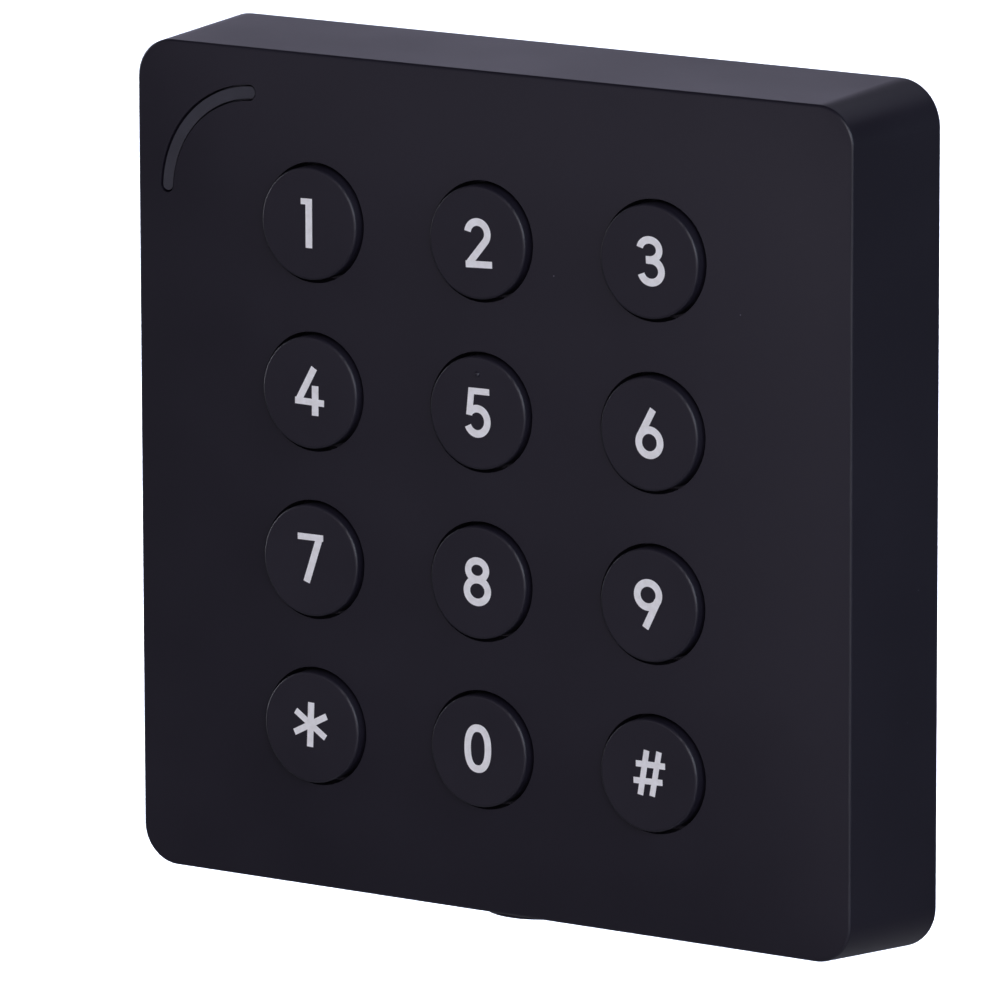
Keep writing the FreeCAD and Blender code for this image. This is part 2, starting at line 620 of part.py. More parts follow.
def add_lock_pad(body):
    """The half-round pad under the bottom wall, flush with the rear edge, and the lock screw's hole."""
    sketch = new_sketch(body, "lock_pad_outline", PAD_Z, "XY_Plane")
    middle = V(0, -value("lock_depth"), 0)
    radius = value("lock_pad_radius")
    rear = -value("wall_gap")
    half_chord = math.sqrt(radius**2 - (rear - middle.y) ** 2)
    start = math.pi - math.asin((rear - middle.y) / radius)
    arc = Part.ArcOfCircle(Part.Circle(middle, V(0, 0, 1), radius), start, 3 * math.pi - start)
    arc = sketch.addGeometry(arc)
    chord = sketch.addGeometry(Part.LineSegment(V(half_chord, rear), V(-half_chord, rear)))
    sketch.addConstraint(Sketcher.Constraint("Coincident", arc, 2, chord, 1))
    sketch.addConstraint(Sketcher.Constraint("Coincident", chord, 2, arc, 1))
    sketch.addConstraint(Sketcher.Constraint("Horizontal", chord))
    place_point(sketch, arc, 3, 0, "-lock_depth")
    fix(sketch, "Radius", arc, "lock_pad_radius")
    fix(sketch, "DistanceY", chord, 1, -1, 1, "wall_gap")
    pad(body, sketch, "lock_pad_drop + side_wall * 0.75", "lock_pad")

    hole = new_sketch(body, "lock_hole_outline", PAD_Z, "XY_Plane")
    draw_circle(hole, 0, "-lock_depth", "lock_hole_radius")
    pocket(body, hole, "lock_pad_drop + side_wall + 1", "lock_hole")
    recess = new_sketch(body, "lock_recess_outline", PAD_Z, "XY_Plane")
    draw_circle(recess, 0, "-lock_depth", "lock_head_radius + lock_head_gap")
    pocket(body, recess, "lock_head_height + lock_head_gap / 2", "lock_recess")


def make_rear_cover():
    """Moulded ABS rear cover: a plate with a raised rim round the seal groove, a window over the
    wiring header, holes for the cover screws and the tamper plunger, and a gap for the lock tab."""
    body = new_body("rear_cover")
    plate = new_sketch(body, "plate_outline", "bracket_space")
    draw_rounded_box(
        plate, 0, 0, f"{INSIDE_WIDTH} - 2 * rear_gap", f"{INSIDE_HEIGHT} - 2 * rear_gap", f"({INSIDE_RADIUS} - rear_gap)"
    )
    pad(body, plate, "rear_plate", "plate")
    rim = new_sketch(body, "seal_rim_outline", f"{REAR_PLATE_FRONT} - rear_plate / 2")
    for grow in ("seal_rim_width", "-seal_rim_width"):
        draw_rounded_box(
            rim, 0, SEAL_Z, f"{SEAL_WIDTH} + {grow}", f"{SEAL_HEIGHT} + {grow}", f"(seal_radius + {grow} / 2)"
        )
    pad(body, rim, "seal_rim_height + rear_plate / 2", "seal_rim")
    groove = new_sketch(body, "groove_outline", GROOVE_FLOOR)
    for grow in ("groove_width", "-groove_width"):
        draw_rounded_box(
            groove, 0, SEAL_Z, f"{SEAL_WIDTH} + {grow}", f"{SEAL_HEIGHT} + {grow}", f"(seal_radius + {grow} / 2)"
        )
    pocket(body, groove, "groove_depth", "seal_groove")

    window = new_sketch(body, "window_outline", "bracket_space")
    draw_rounded_box(
        window, "header_x", "header_z", "header_length + 2 * window_margin", "header_width + 2 * window_margin", "1"
    )
    pocket(body, window, "rear_plate", "wiring_window")
    holes = circles(
        body, "screw_hole_outline", "bracket_space", cover_boss_places(), "boss_bore_radius + screw_clear"
    )
    pocket(body, holes, "rear_plate", "screw_holes")
    hole = circles(
        body, "tamper_hole_outline", "bracket_space", [("tamper_x", "tamper_z")], "tamper_radius + 3 * tamper_slide_gap"
    )
    pocket(body, hole, "rear_plate", "tamper_hole")
    gap = new_sketch(body, "tab_gap_outline", "bracket_space")
    draw_box(gap, 0, BOTTOM_INSIDE, "tab_width + 2 * tab_clear", "2 * (tab_gap + tab_thickness + tab_clear)")
    pocket(body, gap, "rear_plate", "tab_gap")
    return body


def make_gasket():
    """Silicone gasket in the rear cover's groove."""
    body = new_body("cover_gasket")
    ring = new_sketch(body, "gasket_outline", GROOVE_FLOOR)
    for grow in ("gasket_width", "-gasket_width"):
        draw_rounded_box(
            ring, 0, SEAL_Z, f"{SEAL_WIDTH} + {grow}", f"{SEAL_HEIGHT} + {grow}", f"(seal_radius + {grow} / 2)"
        )
    pad(body, ring, "gasket_thickness", "gasket")
    return body


def make_bracket():
    """Pressed steel wall bracket: a plate with the cable opening, slots and holes for wall screws,
    two hooks that step forward into the cover's top wall, and the threaded lock tab."""
    body = new_body("wall_bracket")
    top = f"({TOP_INSIDE} - bracket_top_gap)"
    bottom = f"({BOTTOM_INSIDE} + bracket_bottom_gap)"
    plate = new_sketch(body, "plate_outline", 0)
    draw_rounded_box(
        plate, 0, f"({top} + {bottom}) / 2", f"{INSIDE_WIDTH} - 2 * bracket_side_gap", f"{top} - {bottom}", "bracket_corner"
    )
    pad(body, plate, "bracket_thickness", "plate")

    foot = new_sketch(body, "hook_foot_outline", "bracket_thickness / 2")
    for side in SIDES:
        draw_box(foot, f"{side} * hook_x", f"{top} - bracket_thickness / 2", "hook_width", "bracket_thickness")
    pad(body, foot, "bracket_space - hook_clear - bracket_thickness / 2", "hook_feet")
    hook_top = f"({TOP_INSIDE} + hook_rise)"
    hook_bottom = f"({top} - bracket_thickness)"
    hooks = new_sketch(body, "hook_outline", "bracket_thickness")
    for side in SIDES:
        draw_box(
            hooks, f"{side} * hook_x", f"({hook_top} + {hook_bottom}) / 2", "hook_width", f"{hook_top} - {hook_bottom}"
        )
    pad(body, hooks, "bracket_space - hook_clear - bracket_thickness", "hooks")

    tab = new_sketch(body, "tab_outline", 0)
    draw_box(tab, 0, f"{TAB_Z} + tab_thickness / 2", "tab_width", "tab_thickness")
    pad(body, tab, "lock_depth + tab_reach", "lock_tab")

    opening = new_sketch(body, "cable_outline", 0)
    draw_rounded_box(opening, "header_x", "header_z", "cable_width", "cable_height", "cable_corner")
    pocket(body, opening, "bracket_thickness", "cable_opening")
    slots = new_sketch(body, "box_slot_outline", 0)
    for side in SIDES:
        draw_slot(slots, f"{side} * box_screw_pitch / 2", 0, "box_slot_length", "box_slot_radius")
    pocket(body, slots, "bracket_thickness", "box_slots")
    corners = [(f"{side} * plug_pitch_x / 2", f"{end} * plug_pitch_z / 2") for side in SIDES for end in SIDES]
    plugs = circles(body, "plug_hole_outline", 0, corners, "plug_hole_radius")
    pocket(body, plugs, "bracket_thickness", "plug_holes")
    thread = new_sketch(body, "lock_thread_outline", TAB_Z, "XY_Plane")
    draw_circle(thread, 0, "-lock_depth", "lock_thread_radius")
    pocket(body, thread, "tab_thickness", "lock_thread")
    return body


# --- the keys ----------------------------------------------------------------------------------------


def make_key(name, x, z):
    """A hollow moulded keycap on its own axis: flange with the anti-turn notch, cap with a rounded
    top edge, and the post that stands on the mat's dome. The middle key has a raised nib."""
    body = new_body(name)
    cap_radius = "(key_hole_radius - key_gap)"
    axis = [(0, 0)]
    flange = circles(body, "flange_outline", FLANGE_BACK, axis, FLANGE_RADIUS)
    pad(body, flange, "flange_thickness", "flange")
    cap = circles(body, "cap_outline", FLANGE_BACK, axis, cap_radius)
    pad(body, cap, f"{KEY_TOP} - {FLANGE_BACK}", "cap")
    hollow = rings(body, "hollow_outline", FLANGE_BACK, axis, f"{cap_radius} - key_wall", "key_post_radius")
    pocket(body, hollow, f"{KEY_TOP} - {FLANGE_BACK} - key_top_wall", "hollow")
    notch = circles(body, "notch_outline", FLANGE_BACK, [(0, pin_z("0"))], "pin_radius + pin_gap")
    pocket(body, notch, "flange_thickness", "notch")
    round_edges(body, "key_shoulder", "shoulder", circle_at(value(KEY_TOP), value(cap_radius)))
    if name == MIDDLE_KEY:
        nib = circles(body, "nib_outline", f"{KEY_TOP} - nib_height", [(0, "nib_rise")], "nib_radius")
        pad(body, nib, "2 * nib_height", "nib")
        top = value(f"{KEY_TOP} + nib_height")
        round_edges(body, "nib_height * 0.9", "nib_dome", circle_at(top, value("nib_radius")))
    body.setExpression("Placement.Base.x", tied(x))
    body.setExpression("Placement.Base.z", tied(z))
    return body


def make_contact(name, x, z):
    """The carbon contact moulded under a dome, which closes the key's pads on the board."""
    disc = doc.addObject("Part::Cylinder", name)
    disc.setExpression("Radius", tied("contact_radius"))
    disc.setExpression("Height", tied("contact_thickness"))
    stand_up(disc, x, z, f"{DOME_INSIDE} - contact_thickness")
    return disc


def stand_up(cylinder, x, z, depth):
    """Turns a cylinder to point away from the wall, with its foot at that depth."""
    cylinder.Placement.Rotation = FreeCAD.Rotation(V(1, 0, 0), 90)
    cylinder.setExpression("Placement.Base.x", tied(x))
    cylinder.setExpression("Placement.Base.y", tied(f"-({depth})"))
    cylinder.setExpression("Placement.Base.z", tied(z))


def make_mat():
    """One-piece silicone mat: a sheet on the board with a dome under each key. The sloping wall of
    a dome gives way when its key is pressed."""
    body = new_body("keypad_mat")
    axes = [(x, z) for _, x, z in key_places()]
    web = new_sketch(body, "web_outline", BOARD_FRONT)
    draw_rounded_box(web, 0, 0, "2 * (key_pitch_x + mat_margin)", "3 * key_pitch_z + 2 * mat_margin", "3")
    pad(body, web, "mat_web", "web")
    slope = -value("dome_slope")
    feet = circles(body, "dome_outline", f"{BOARD_FRONT} + mat_web", axes, "dome_radius")
    pad(body, feet, "dome_cone", "domes", TaperAngle=slope)
    tops = circles(body, "plunger_outline", f"{BOARD_FRONT} + mat_web", axes, "plunger_radius")
    pad(body, tops, "mat_height - mat_web", "plungers")
    room = circles(body, "room_outline", BOARD_FRONT, axes, "dome_radius - dome_wall")
    pocket(body, room, "mat_web", "rooms")
    room = circles(body, "cone_room_outline", f"{BOARD_FRONT} + mat_web", axes, "dome_radius - dome_wall")
    pocket(body, room, f"{DOME_INSIDE} - {BOARD_FRONT} - mat_web", "cone_rooms", TaperAngle=slope)
    return body


# --- the electronics -------------------------------------------------------------------------------


def make_board():
    """Glass-fibre circuit board, screwed to the front cover, with clearance holes for the cover bosses."""
    body = new_body("main_board")
    trim = "(tongue_width + 2 * board_gap)"
    outline = new_sketch(body, "board_outline", BOARD_BACK)
    draw_rounded_box(
        outline, 0, SEAL_Z, f"{SEAL_WIDTH} - {trim}", f"{SEAL_HEIGHT} - {trim}", f"(seal_radius - {trim} / 2)"
    )
    pad(body, outline, "board_thickness", "board")
    holes = circles(body, "boss_hole_outline", BOARD_BACK, cover_boss_places(), "boss_radius + 2 * screw_clear")
    pocket(body, holes, "board_thickness", "boss_holes")
    holes = circles(body, "screw_hole_outline", BOARD_BACK, board_boss_places(), "board_bore_radius + screw_clear")
    pocket(body, holes, "board_thickness", "screw_holes")
    return body


def box(name, x, z, width, height, back, thickness):
    """A box with its middle at x, z that runs from that depth towards the viewer."""
    solid = doc.addObject("Part::Box", name)
    solid.setExpression("Length", tied(width))
    solid.setExpression("Width", tied(thickness))
    solid.setExpression("Height", tied(height))
    solid.setExpression("Placement.Base.x", tied(f"{x} - ({width}) / 2"))
    solid.setExpression("Placement.Base.y", tied(f"-({back}) - ({thickness})"))
    solid.setExpression("Placement.Base.z", tied(f"{z} - ({height}) / 2"))
    return solid


def cylinder(name, x, z, radius, back, length):
    solid = doc.addObject("Part::Cylinder", name)
    solid.setExpression("Radius", tied(radius))
    solid.setExpression("Height", tied(length))
    stand_up(solid, x, z, back)
    return solid


def group(label, solids):
    """Like pieces that share one node, as separate solids."""
    together = doc.addObject("Part::Compound", label)
    together.Links = solids
    return together


def cut(label, base, tool):
    result = doc.addObject("Part::Cut", label)
    result.Base = base
    result.Tool = tool
    return result


def make_contact_pads():
    """Gold-plated pads on the front of the board, one under each key."""
    pads = [cylinder(f"pad_{name}", x, z, "pad_radius", BOARD_FRONT, "pad_thickness") for name, x, z in key_places()]
    return group("contact_pads", pads)


def make_chips():
    """The packages soldered to the back of the board."""
    chips = []
    for name, (x, z, width, height, thickness) in CHIPS.items():
        chips.append(box(name, x, z, width, height, f"{BOARD_BACK} - {thickness}", thickness))
    return chips


def make_passives():
    """A row of small resistors and capacitors below the chips."""
    width, height, thickness = PASSIVE_SIZE
    back = f"{BOARD_BACK} - {thickness}"
    parts = []
    for i in range(PASSIVE_COUNT):
        x = PASSIVE_START[0] + i * PASSIVE_PITCH
        parts.append(box(f"passive_{i + 1}", x, PASSIVE_START[1], width, height, back, thickness))
    return group("board_passives", parts)


def make_coil():
    """Antenna coil of enamelled wire, wound as a flat racetrack and bonded to the back of the board."""
    body = new_body("antenna_coil")
    ring = new_sketch(body, "coil_outline", f"{BOARD_BACK} - coil_thickness")
    draw_rounded_box(ring, 0, 0, "coil_width", "coil_height", "coil_corner")
    draw_rounded_box(
        ring, 0, 0, "coil_width - 2 * coil_ring", "coil_height - 2 * coil_ring", "(coil_corner - coil_ring)"
    )
    pad(body, ring, "coil_thickness", "winding")
    return body


def make_buzzer():
    can = cylinder(
        "buzzer_can", "buzzer_x", "buzzer_z", "buzzer_radius", f"{BOARD_BACK} - buzzer_height", "buzzer_height"
    )
    hole = cylinder(
        "buzzer_hole", "buzzer_x", "buzzer_z", "buzzer_hole_radius", f"{BOARD_BACK} - buzzer_height", "buzzer_height / 2"
    )
    return cut("buzzer", can, hole)


def make_header():
    """Shrouded wiring header that opens towards the wall, and its square pins."""
    back = f"({BOARD_BACK} - header_height)"
    shroud = box("header_shroud", "header_x", "header_z", "header_length", "header_width", back, "header_height")
    inside = box(
        "header_inside",
        "header_x",
        "header_z",
        "header_length - 2 * header_wall",
        "header_width - 2 * header_wall",
        back,
        "header_height - header_floor",
    )
    pins = []
    for i in range(HEADER_PINS):
        x = f"header_x + {i - (HEADER_PINS - 1) / 2} * header_pin_pitch"
        foot = f"({BOARD_BACK} - header_floor - header_pin_length)"
        pin = box(f"pin_{i + 1}", x, "header_z", "header_pin_size", "header_pin_size", foot, "header_pin_length")
        pins.append(pin)
    return [cut("wiring_header", shroud, inside), group("header_pins", pins)]


def make_tamper_switch():
    """The switch that opens when the reader is taken off the wall, and its plunger, which goes
    through the rear cover and stops just short of the bracket."""
    back = f"({BOARD_BACK} - tamper_height)"
    body = box("tamper_body", "tamper_x", "tamper_z", "tamper_size", "tamper_size", back, "tamper_height")
    bore = cylinder(
        "tamper_bore",
        "tamper_x",
        "tamper_z",
        "tamper_radius + tamper_slide_gap",
        back,
        "tamper_height - tamper_bore_floor",
    )
    switch = cut("tamper_switch", body, bore)
    tip = "(bracket_thickness + tamper_tip_gap)"
    plunger = new_body("tamper_plunger")
    outline = circles(plunger, "plunger_outline", tip, [("tamper_x", "tamper_z")], "tamper_radius")
    pad(plunger, outline, f"{back} + tamper_in_switch - {tip}", "rod")
    round_edges(plunger, "tamper_radius / 2", "tip", circle_at(value(tip), value("tamper_radius")))
    return [switch, plunger]


def make_light_guide():
    """Clear acrylic light guide: the band seen in the face, a flange behind the face, and a round
    pipe down to each status light."""
    body = new_body("light_guide")
    flange = new_sketch(body, "flange_outline", f"{FACE_INSIDE} - guide_flange_thickness")
    draw_quarter_arc(flange, "guide_flange_width")
    pad(body, flange, "guide_flange_thickness", "flange")
    band = new_sketch(body, "band_outline", f"{FACE_INSIDE} - guide_flange_thickness / 2")
    draw_quarter_arc(band, "arc_width")
    pad(body, band, f"{GUIDE_FRONT} - {FACE_INSIDE} + guide_flange_thickness / 2", "band")
    foot = f"({BOARD_FRONT} + led_height + led_gap)"
    pipes = circles(body, "pipe_outline", foot, pipe_places(), "pipe_radius")
    pad(body, pipes, f"{FACE_INSIDE} - guide_flange_thickness / 2 - {foot}", "pipes")
    return body


def make_status_leds():
    leds = []
    for i, (x, z) in enumerate(pipe_places(), start=1):
        leds.append(box(f"led_{i}", x, z, "led_width", "led_width", BOARD_FRONT, "led_height"))
    return group("status_leds", leds)


# --- the screws ----------------------------------------------------------------------------------------


def make_screw(name, x, z, seat, head_radius, head_height, shank_radius, length):
    """A pan-head screw driven towards the viewer: its head lies behind the seat's depth and has a
    drive recess, and the plain shank stands for the thread."""
    head = cylinder(f"{name}_head", x, z, head_radius, f"{seat} - {head_height}", head_height)
    shank = cylinder(f"{name}_shank", x, z, shank_radius, f"{seat} - {head_height} / 2", f"{length} + {head_height} / 2")
    whole = doc.addObject("Part::Fuse", f"{name}_whole")
    whole.Base = head
    whole.Tool = shank
    drive = cylinder(f"{name}_drive", x, z, "drive_radius", f"{seat} - {head_height}", "drive_depth")
    return cut(name, whole, drive)


def make_cover_screws():
    screws = []
    for i, (x, z) in enumerate(cover_boss_places(), start=1):
        screws.append(
            make_screw(
                f"cover_screw_{i}",
                x,
                z,
                "bracket_space",
                "cover_head_radius",
                "cover_head_height",
                "boss_bore_radius - thread_gap",
                "(rear_plate + cover_screw_bite)",
            )
        )
    return group("cover_screws", screws)


def make_board_screws():
    screws = []
    for i, (x, z) in enumerate(board_boss_places(), start=1):
        screws.append(
            make_screw(
                f"board_screw_{i}",
                x,
                z,
                BOARD_BACK,
                "board_head_radius",
                "board_head_height",
                "board_bore_radius - thread_gap",
                "(board_thickness + board_screw_bite)",
            )
        )
    return group("board_screws", screws)


def make_lock_screw():
    """Security screw, driven up through the bottom wall into the bracket's tab."""
    body = new_body("lock_screw")
    head = new_sketch(body, "head_outline", f"{PAD_Z} + lock_head_gap / 2", "XY_Plane")
    draw_circle(head, 0, "-lock_depth", "lock_head_radius")
    pad(body, head, "lock_head_height", "head")
    shank = new_sketch(body, "shank_outline", f"{PAD_Z} + lock_head_gap / 2 + lock_head_height", "XY_Plane")
    draw_circle(shank, 0, "-lock_depth", "lock_thread_radius - thread_gap")
    pad(body, shank, "lock_length", "shank")
    drive = new_sketch(body, "drive_outline", f"{PAD_Z} + lock_head_gap / 2", "XY_Plane")
    draw_circle(drive, 0, "-lock_depth", "lock_drive_radius")
    pocket(body, drive, "lock_head_height * 0.6", "drive")
    return body


# --- building and writing ----------------------------------------------------------------------------


def build():
    pieces = [make_front_cover(), make_rear_cover(), make_gasket(), make_bracket(), make_mat(), make_board()]
    for name, x, z in key_places():
        pieces.append(make_key(name, x, z))
        pieces.append(make_contact(f"{name}_contact", x, z))
    pieces += [make_contact_pads(), make_passives(), make_coil(), make_buzzer(), make_light_guide()]
    pieces += [make_status_leds(), make_cover_screws(), make_board_screws(), make_lock_screw()]
    pieces += make_chips() + make_header() + make_tamper_switch()
    return pieces


def check(pieces):
    """Stops if any object failed to compute or any piece has no sound shape."""
    doc.recompute()
    for item in doc.Objects:
        if {"Invalid", "Error"} & set(item.State):
            raise RuntimeError(f"{item.Label} did not compute: {item.State}")
    for piece in pieces:
        if piece.Shape.isNull() or not piece.Shape.isValid() or not piece.Shape.Solids:
            raise RuntimeError(f"{piece.Label} has no sound shape")


pieces = build()
check(pieces)
os.makedirs("parts", exist_ok=True)
for piece in pieces:
    piece.Shape.exportStep(f"parts/{piece.Label}.step")
print(f"{len(pieces)} parts written")
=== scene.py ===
"""Keypad access reader: black textured housing with a crowned face, twelve round keys with printed
legends, a smoked light arc, and behind them the electronics, the sealed rear cover and the bracket."""

import math
import bpy
import bmesh
from mathutils import Matrix, Vector


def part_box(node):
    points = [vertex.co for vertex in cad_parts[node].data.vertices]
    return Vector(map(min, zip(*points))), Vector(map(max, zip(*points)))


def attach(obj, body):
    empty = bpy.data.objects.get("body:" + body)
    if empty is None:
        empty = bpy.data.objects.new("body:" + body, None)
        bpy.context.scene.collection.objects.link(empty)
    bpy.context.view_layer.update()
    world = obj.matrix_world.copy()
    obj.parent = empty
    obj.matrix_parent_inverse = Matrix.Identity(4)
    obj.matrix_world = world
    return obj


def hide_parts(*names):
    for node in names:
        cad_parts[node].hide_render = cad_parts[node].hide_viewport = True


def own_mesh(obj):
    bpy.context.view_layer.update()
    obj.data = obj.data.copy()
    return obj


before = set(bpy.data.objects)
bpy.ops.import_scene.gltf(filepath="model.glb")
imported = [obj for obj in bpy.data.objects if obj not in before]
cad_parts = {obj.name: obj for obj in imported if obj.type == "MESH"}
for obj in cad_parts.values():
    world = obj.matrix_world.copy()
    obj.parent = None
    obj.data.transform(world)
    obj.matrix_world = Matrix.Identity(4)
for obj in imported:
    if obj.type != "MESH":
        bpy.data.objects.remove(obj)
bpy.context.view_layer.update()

# --- Front cover ----------------------------------------------------------------------------------
# The housing's face and sides are one moulding in black ABS. The mould was spark-eroded, so the
# plastic is matte with a fine even grit; it has dust specks on it and is slightly clouded by handling.


def linear(code):
    """A screen colour such as "#22212a" as the linear values that a shader takes."""
    parts = [int(code[i : i + 2], 16) / 255 for i in (1, 3, 5)]
    return [p / 12.92 if p <= 0.04045 else ((p + 0.055) / 1.055) ** 2.4 for p in parts] + [1.0]


def add_node(tree, kind, settings=None, links=None, **options):
    """Adds a shader node, sets its options and sockets, and links its inputs."""
    made = tree.nodes.new(kind)
    for name, choice in options.items():
        setattr(made, name, choice)
    for socket, amount in (settings or {}).items():
        made.inputs[socket].default_value = amount
    for socket, source in (links or {}).items():
        tree.links.new(source, made.inputs[socket])
    return made


def finish(name, dark, light, cloud_mm, grit_mm, grit_depth_mm, gloss_drift=0.0, turn=(1, 1, 1), **shader):
    """A material that drifts between two colours, and a little in gloss, over clouds of one size,
    with a grit of another size that stands out by a depth. A turn below 1 draws the grit out along
    that axis, as rolling or brushing does. The rest are the shader's own settings."""
    made = bpy.data.materials.new(name)
    made.use_nodes = True
    tree = made.node_tree
    skin = tree.nodes["Principled BSDF"]
    for socket, amount in shader.items():
        skin.inputs[socket.replace("_", " ")].default_value = amount
    place = add_node(tree, "ShaderNodeTexCoord").outputs["Object"]
    drawn = add_node(tree, "ShaderNodeMapping", {"Scale": turn}, {"Vector": place}).outputs["Vector"]
    clouds = add_node(
        tree, "ShaderNodeTexNoise", {"Scale": 1000 / cloud_mm, "Detail": 3.0}, {"Vector": place}
    )
    drift = add_node(
        tree, "ShaderNodeMapRange", {"From Min": 0.3, "From Max": 0.7}, {"Value": clouds.outputs["Fac"]}
    ).outputs["Result"]
    colour = add_node(
        tree, "ShaderNodeMix", {6: linear(dark), 7: linear(light)}, {0: drift}, data_type="RGBA"
    ).outputs[2]
    grit = add_node(
        tree,
        "ShaderNodeTexNoise",
        {"Scale": 1000 / grit_mm, "Detail": 3.0, "Roughness": 0.6},
        {"Vector": drawn},
    ).outputs["Fac"]
    bump = add_node(tree, "ShaderNodeBump", {"Distance": grit_depth_mm / 1000}, {"Height": grit})
    tree.links.new(colour, skin.inputs["Base Color"])
    tree.links.new(bump.outputs["Normal"], skin.inputs["Normal"])
    if gloss_drift:
        even = skin.inputs["Roughness"].default_value
        limits = {"To Min": even - gloss_drift, "To Max": even + gloss_drift}
        gloss = add_node(tree, "ShaderNodeMapRange", limits, {"Value": drift})
        tree.links.new(gloss.outputs["Result"], skin.inputs["Roughness"])
    return made


def dusted(material, speck, spacing_mm, size_mm, share):
    """Settles specks of dust on a material: about that share of the cells of a grid holds one."""
    tree = material.node_tree
    skin = tree.nodes["Principled BSDF"]
    clean = skin.inputs["Base Color"].links[0].from_socket
    place = add_node(tree, "ShaderNodeTexCoord").outputs["Object"]
    cells = add_node(tree, "ShaderNodeTexVoronoi", {"Scale": 1000 / spacing_mm}, {"Vector": place})
    size = size_mm / spacing_mm
    near = add_node(
        tree,
        "ShaderNodeMapRange",
        {"From Min": size / 2, "From Max": size, "To Min": 1.0, "To Max": 0.0},
        {"Value": cells.outputs["Distance"]},
    ).outputs["Result"]
    lot = add_node(tree, "ShaderNodeSeparateColor", links={0: cells.outputs["Color"]}).outputs[0]
    chosen = add_node(
        tree, "ShaderNodeMapRange", {"From Min": 1 - share, "From Max": 1.0}, {"Value": lot}
    ).outputs[0]
    shown = add_node(tree, "ShaderNodeMath", links={0: near, 1: chosen}, operation="MULTIPLY").outputs[0]
    colour = add_node(
        tree, "ShaderNodeMix", {7: linear(speck)}, {0: shown, 6: clean}, data_type="RGBA"
    ).outputs[2]
    tree.links.new(colour, skin.inputs["Base Color"])
    return material


def coat(node_name, material):
    """Gives a CAD part its finish."""
    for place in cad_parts[node_name].material_slots:
        place.material = material


# Black ABS: the pigment leaves a little violet, and the eroded skin scatters its reflections.
housing_abs = finish("Black spark-eroded ABS", "#16131e", "#1a1722", 16, 0.16, 0.006, 0.02, Roughness=0.44)
coat("front_cover", dusted(housing_abs, "#8a8890", 4.3, 0.09, 0.12))

# --- Light arc ------------------------------------------------------------------------------------
# A light guide of smoked acrylic, pushed in from behind and frosted in front. Two status lights on
# the board shine into its pipes; unlit, it looks dark grey.

# Smoked PMMA: glossy by nature, frosted here, so it shows soft grey light from its surface.
smoked_acrylic = finish(
    "Smoked frosted acrylic", "#35353c", "#3b3b43", 3, 0.12, 0.002, Roughness=0.45, IOR=1.49
)
coat("light_guide", smoked_acrylic)

# --- Keys -----------------------------------------------------------------------------------------
# Twelve round ABS keycaps, moulded in the housing's black with a finer grit and held behind the
# face by their flanges.

# The same black ABS, with a shallower texture that fingers keep slightly smoother.
keycap_abs = finish("Black fine-textured ABS", "#17141f", "#1b1823", 9, 0.11, 0.004, 0.03, Roughness=0.46)
dusted(keycap_abs, "#8a8890", 3.7, 0.08, 0.08)
KEY_ROWS = (("1", "2", "3"), ("4", "5", "6"), ("7", "8", "9"), ("star", "0", "hash"))
KEYS = [f"key_{mark}" for row in KEY_ROWS for mark in row]
for key in KEYS:
    coat(key, keycap_abs)

# --- Legends --------------------------------------------------------------------------------------
# White pad-printed characters, a few hundredths of a millimetre thick, on the key tops. Each is
# drawn as strokes: a width and the points of its middle line in millimetres from the key's centre.


def bow(x, z, across, up, start, end, steps=40, square=2.0):
    """Points round an oval, from one angle to another in degrees. A square above 2 fills out the
    oval's corners."""
    points = []
    for i in range(steps + 1):
        angle = math.radians(start + (end - start) * i / steps)
        c, s = math.cos(angle), math.sin(angle)
        points.append((x + across * math.copysign(abs(c) ** (2 / square), c),
                       z + up * math.copysign(abs(s) ** (2 / square), s)))
    return points


